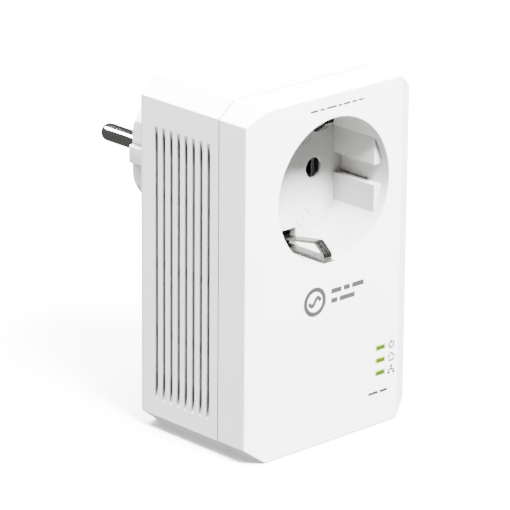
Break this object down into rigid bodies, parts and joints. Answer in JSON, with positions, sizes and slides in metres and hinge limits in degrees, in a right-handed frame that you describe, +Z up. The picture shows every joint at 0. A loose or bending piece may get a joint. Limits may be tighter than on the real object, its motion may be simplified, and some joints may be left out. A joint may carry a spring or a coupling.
{
  "type": "powerline adapter",
  "caption": "Upright white powerline adapter with a round earthed pass-through socket, side vents, round-pin plug at the back, and a network jack and pair button at the bottom end.",
  "frame": {"origin": "on the bottom end, under the middle of the width and of the overall depth from the front face to the pin tips", "axes": "+Z up the body from the bottom end, +Y from the front face to the wall along the plug pins, +X to the right when facing the front"},
  "size_m": [0.0572, 0.0776, 0.094],
  "materials": {
    "case_white": "fine moulded grain, satin",
    "socket_white": "smooth satin",
    "plug_white": "smooth satin",
    "carrier_white": "plain moulding",
    "jack_white": "smooth satin",
    "button_white": "smooth, slightly translucent",
    "label_grey": "printed film, blank",
    "steel_screws": "zinc plated",
    "nickel_clip": "nickel plated strip",
    "nickel_pin": "nickel plated, polished",
    "brass_inner": "stamped strip",
    "gold_wires": "gold flashed",
    "black_parts": "moulded",
    "film_black": "thin film",
    "lamp_green": "clear light pipe lit yellow-green",
    "diode_yellow": "lamp chip",
    "board_green": "solder mask",
    "sink_aluminium": "extruded",
    "ferrite": "sintered",
    "winding_yellow": "tape",
    "capacitor_black": "sleeve",
    "film_capacitor_yellow": "moulded",
    "varistor_blue": "coated"
  },
  "bodies": {
    "adapter": {"front_cover": "case_white", "rear_housing": "case_white", "socket_well": "socket_white", "plug_base": "plug_white", "case_screws": "steel_screws", "rear_label": "label_grey", "contact_carrier": "carrier_white", "earth_strap": "brass_inner", "plug_earth_yoke": "nickel_clip", "plug_earth_sleeve": "nickel_clip", "earth_post": "brass_inner", "socket_contact_left": "brass_inner", "socket_contact_right": "brass_inner", "plug_pin_left": "nickel_pin", "plug_pin_right": "nickel_pin", "busbar_left": "brass_inner", "busbar_right": "brass_inner", "jack_housing": "jack_white", "jack_contacts": "gold_wires", "switch_body": "black_parts", "light_pipe": "lamp_green", "diodes": "diode_yellow", "main_board": "board_green", "mains_board": "board_green", "insulation_sheet": "film_black", "network_transformer": "black_parts", "main_chip": "black_parts", "heat_sink": "sink_aluminium", "flyback_core": "ferrite", "flyback_winding": "winding_yellow", "bulk_capacitors": "capacitor_black", "film_capacitor": "film_capacitor_yellow", "line_choke": "ferrite", "varistor": "varistor_blue", "fuse": "black_parts", "coupling_transformer": "ferrite", "board_header": "black_parts"},
    "pair_button": {"pair_button": "button_white"},
    "switch_plunger": {"switch_plunger": "black_parts"},
    "earth_clip_lower": {"earth_clip_lower": "nickel_clip"},
    "earth_clip_upper": {"earth_clip_upper": "nickel_clip"}
  },
  "joints": [
    {"name": "pair_button_press", "type": "slide", "parent": "adapter", "child": "pair_button", "axis": [0, 0, 1], "range_m": [0, 0.0005], "stiffness_N_per_m": 4000, "springref_m": -0.0001},
    {"name": "switch_plunger_press", "type": "slide", "parent": "adapter", "child": "switch_plunger", "axis": [0, 0, 1], "range_m": [0, 0.0005], "stiffness_N_per_m": 1000},
    {"name": "earth_clip_lower_flex", "type": "hinge", "parent": "adapter", "child": "earth_clip_lower", "pos_m": [0, -0.0189, 0.0488], "axis": [1, 0, 0], "range_deg": [0, 6], "stiffness_Nm_per_rad": 1.6},
    {"name": "earth_clip_upper_flex", "type": "hinge", "parent": "adapter", "child": "earth_clip_upper", "pos_m": [0, -0.0189, 0.0872], "axis": [-1, 0, 0], "range_deg": [0, 6], "stiffness_Nm_per_rad": 1.6}
  ],
  "couplings": [
    {"joint": "switch_plunger_press", "follows": "pair_button_press", "ratio": 1}
  ]
}
